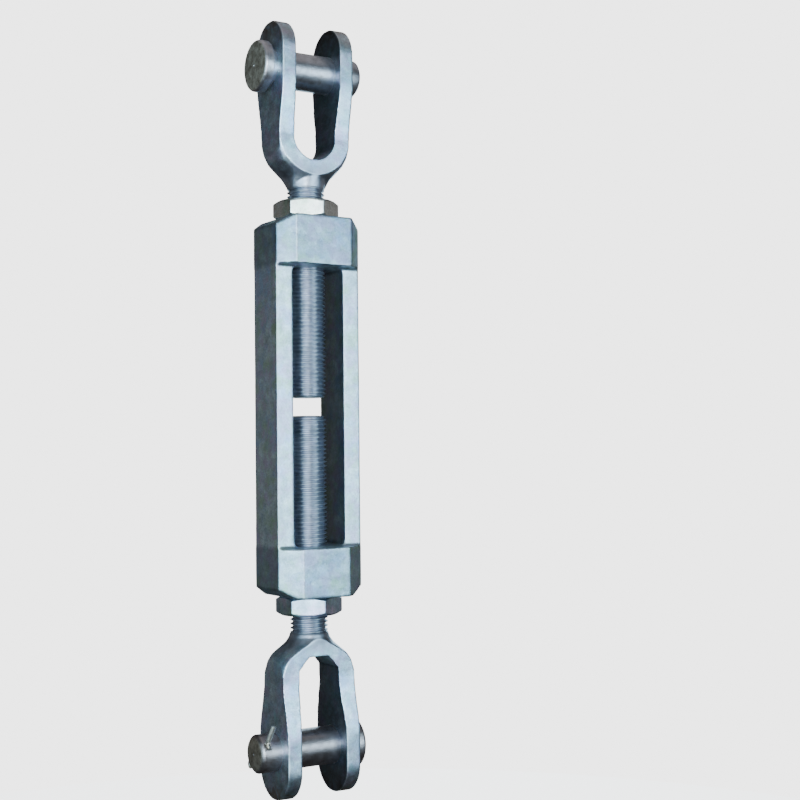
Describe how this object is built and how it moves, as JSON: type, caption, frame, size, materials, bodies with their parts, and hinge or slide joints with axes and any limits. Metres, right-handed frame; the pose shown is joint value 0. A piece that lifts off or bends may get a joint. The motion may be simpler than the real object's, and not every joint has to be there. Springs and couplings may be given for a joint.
{
  "type": "rigging turnbuckle",
  "caption": "Open-frame jaw and jaw rigging turnbuckle: turning the frame draws two opposite-handed screws in or out, and lock nuts hold it.",
  "frame": {"origin": "centre of the frame, on the screws' axis", "axes": "+Z along the screws towards the upper jaw, X along the clevis pins, -Y the front"},
  "size_m": [0.1132, 0.076, 0.738],
  "materials": {
    "frame": "hot-dip galvanised, matt and mottled",
    "jaws": "hot-dip galvanised forging, matt, browner at the ear tips",
    "nuts": "bright zinc, satin",
    "pins": "turned steel with a thin warm-grey zinc",
    "cotters": "cream zinc wire"
  },
  "bodies": {
    "upper_end": {"upper_jaw": "jaws"},
    "upper_nut": {"upper_lock_nut": "nuts"},
    "frame": {"frame_body": "frame"},
    "lower_nut": {"lower_lock_nut": "nuts"},
    "lower_end": {"lower_jaw": "jaws"},
    "upper_pin": {"upper_clevis_pin": "pins", "upper_cotter_pin": "cotters"},
    "lower_pin": {"lower_clevis_pin": "pins", "lower_cotter_pin": "cotters"}
  },
  "joints": [
    {"name": "frame_turn", "type": "hinge", "parent": "upper_nut", "child": "frame", "pos_m": [0, 0, 0], "axis": [0, 0, 1], "range_deg": [-720, 10800]},
    {"name": "upper_screw_travel", "type": "slide", "parent": "upper_end", "child": "upper_nut", "axis": [0, 0, -1], "range_m": [-0.00801, 0.12001]},
    {"name": "lower_end_stays_level", "type": "hinge", "parent": "frame", "child": "lower_nut", "pos_m": [0, 0, 0], "axis": [0, 0, 1], "range_deg": [-10801, 721]},
    {"name": "lower_screw_travel", "type": "slide", "parent": "lower_nut", "child": "lower_end", "axis": [0, 0, -1], "range_m": [-0.00801, 0.12001]},
    {"name": "upper_pin_turn", "type": "hinge", "parent": "upper_end", "child": "upper_pin", "pos_m": [0, 0, 0.324], "axis": [1, 0, 0], "continuous": true},
    {"name": "lower_pin_turn", "type": "hinge", "parent": "lower_end", "child": "lower_pin", "pos_m": [0, 0, -0.324], "axis": [1, 0, 0], "continuous": true}
  ],
  "couplings": [
    {"joint": "upper_screw_travel", "follows": "frame_turn", "m_per_rad": 0.00063662},
    {"joint": "lower_end_stays_level", "follows": "frame_turn", "ratio": -1},
    {"joint": "lower_screw_travel", "follows": "frame_turn", "m_per_rad": 0.00063662}
  ]
}
